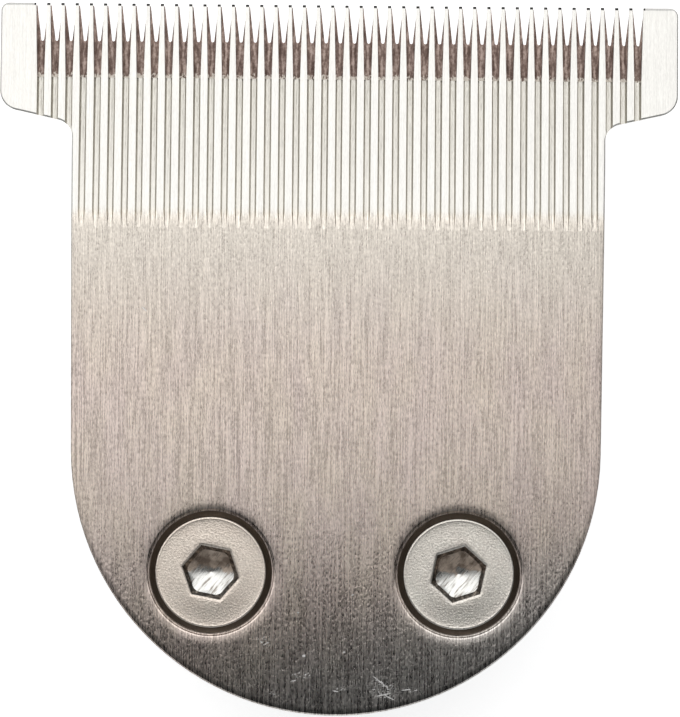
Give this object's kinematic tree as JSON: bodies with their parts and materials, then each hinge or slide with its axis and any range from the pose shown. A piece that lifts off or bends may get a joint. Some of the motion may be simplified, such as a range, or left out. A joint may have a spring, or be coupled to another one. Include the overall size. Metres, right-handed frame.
{
  "type": "hair clipper blade",
  "caption": "T-shaped trimmer blade set: a fluted comb plate screwed to a moulded seat, with a sliding cutter on a spring-pressed drive yoke behind it.",
  "frame": {"origin": "on the seat's flat back, under the middle of the overall box", "axes": "+X along the row of teeth, +Y towards the tooth tips, +Z out of the brushed outer face"},
  "size_m": [0.0338, 0.0354, 0.01],
  "materials": {
    "blade_steel": "stainless steel, brushed along its length, with a polished toothed bevel",
    "cutter_steel": "dark coated steel, satin",
    "yoke_plastic": "ivory moulded acetal, satin",
    "spring_steel": "bright spring wire",
    "seat_plastic": "black moulded plastic, fine matte grain",
    "screw_steel": "satin nickel-plated steel",
    "insert_brass": "turned brass"
  },
  "bodies": {
    "fixed": {"fixed_blade": "blade_steel", "blade_seat": "seat_plastic", "tension_spring": "spring_steel", "screw_left": "screw_steel", "screw_right": "screw_steel", "insert_left": "insert_brass", "insert_right": "insert_brass"},
    "cutter": {"moving_blade": "cutter_steel", "drive_yoke": "yoke_plastic"}
  },
  "joints": [
    {"name": "cutter_slide", "type": "slide", "parent": "fixed", "child": "cutter", "axis": [1, 0, 0], "range_m": [-0.00104, 0.00096]}
  ]
}
